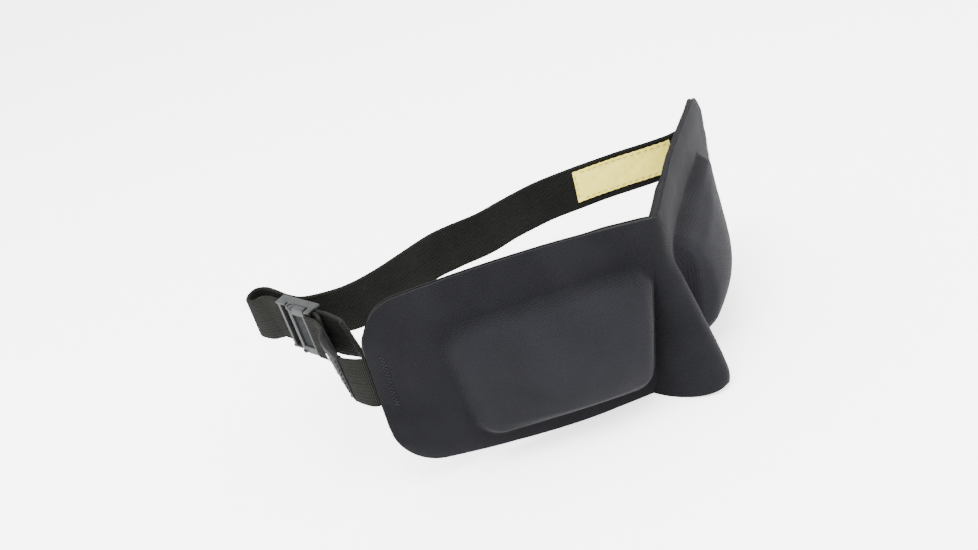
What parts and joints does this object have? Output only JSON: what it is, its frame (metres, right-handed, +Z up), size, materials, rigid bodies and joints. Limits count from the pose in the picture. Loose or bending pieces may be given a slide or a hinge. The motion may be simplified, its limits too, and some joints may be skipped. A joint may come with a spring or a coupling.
{
  "type": "contoured sleep mask",
  "caption": "Moulded eye mask with two domed eye cups, a flared nose funnel, an elastic head strap and a cam-lever strap buckle.",
  "frame": {"origin": "middle of the whole object's box, on the plane of its lowest rim", "axes": "+Z up as worn, -Y to the front of the mask, +X to the right lobe seen from the front"},
  "size_m": [0.2206, 0.172, 0.0805],
  "materials": {
    "charcoal_knit": "fine matt knit with a faint blue cast",
    "grey_foam": "trimmed laminate foam edge",
    "black_lining": "brushed tricot",
    "black_elastic": "ribbed woven elastic",
    "grey_plastic": "moulded acetal with a soft sheen",
    "pale_yellow_tape": "satin label tape",
    "yellow_thread": "sewing thread",
    "black_thread": "sewing thread"
  },
  "bodies": {
    "mask": {"front_cover": "charcoal_knit", "foam_core": "grey_foam", "inner_lining": "black_lining", "left_lobe_tack": "black_thread", "right_lobe_tack": "black_thread", "main_strap": "black_elastic", "strap_fold": "black_elastic", "care_label": "pale_yellow_tape", "care_label_thread": "yellow_thread", "anchor_strap": "black_elastic", "woven_label": "black_thread", "woven_label_thread": "black_thread", "anchor_bartack": "black_thread", "buckle_frame": "grey_plastic"},
    "sliding_strap": {"strap_tail": "black_elastic"},
    "lever": {"cam_lever": "grey_plastic"}
  },
  "joints": [
    {"name": "strap_length_slide", "type": "slide", "parent": "mask", "child": "sliding_strap", "axis": [0.1124, -0.9906, -0.078], "range_m": [-0.004, 0.006], "deforming": ["strap_fold"]},
    {"name": "cam_lever_hinge", "type": "hinge", "parent": "mask", "child": "lever", "pos_m": [-0.09351, 0.05061, 0.05382], "axis": [0.0954, 0.0889, -0.9915], "range_deg": [0, 80]}
  ]
}
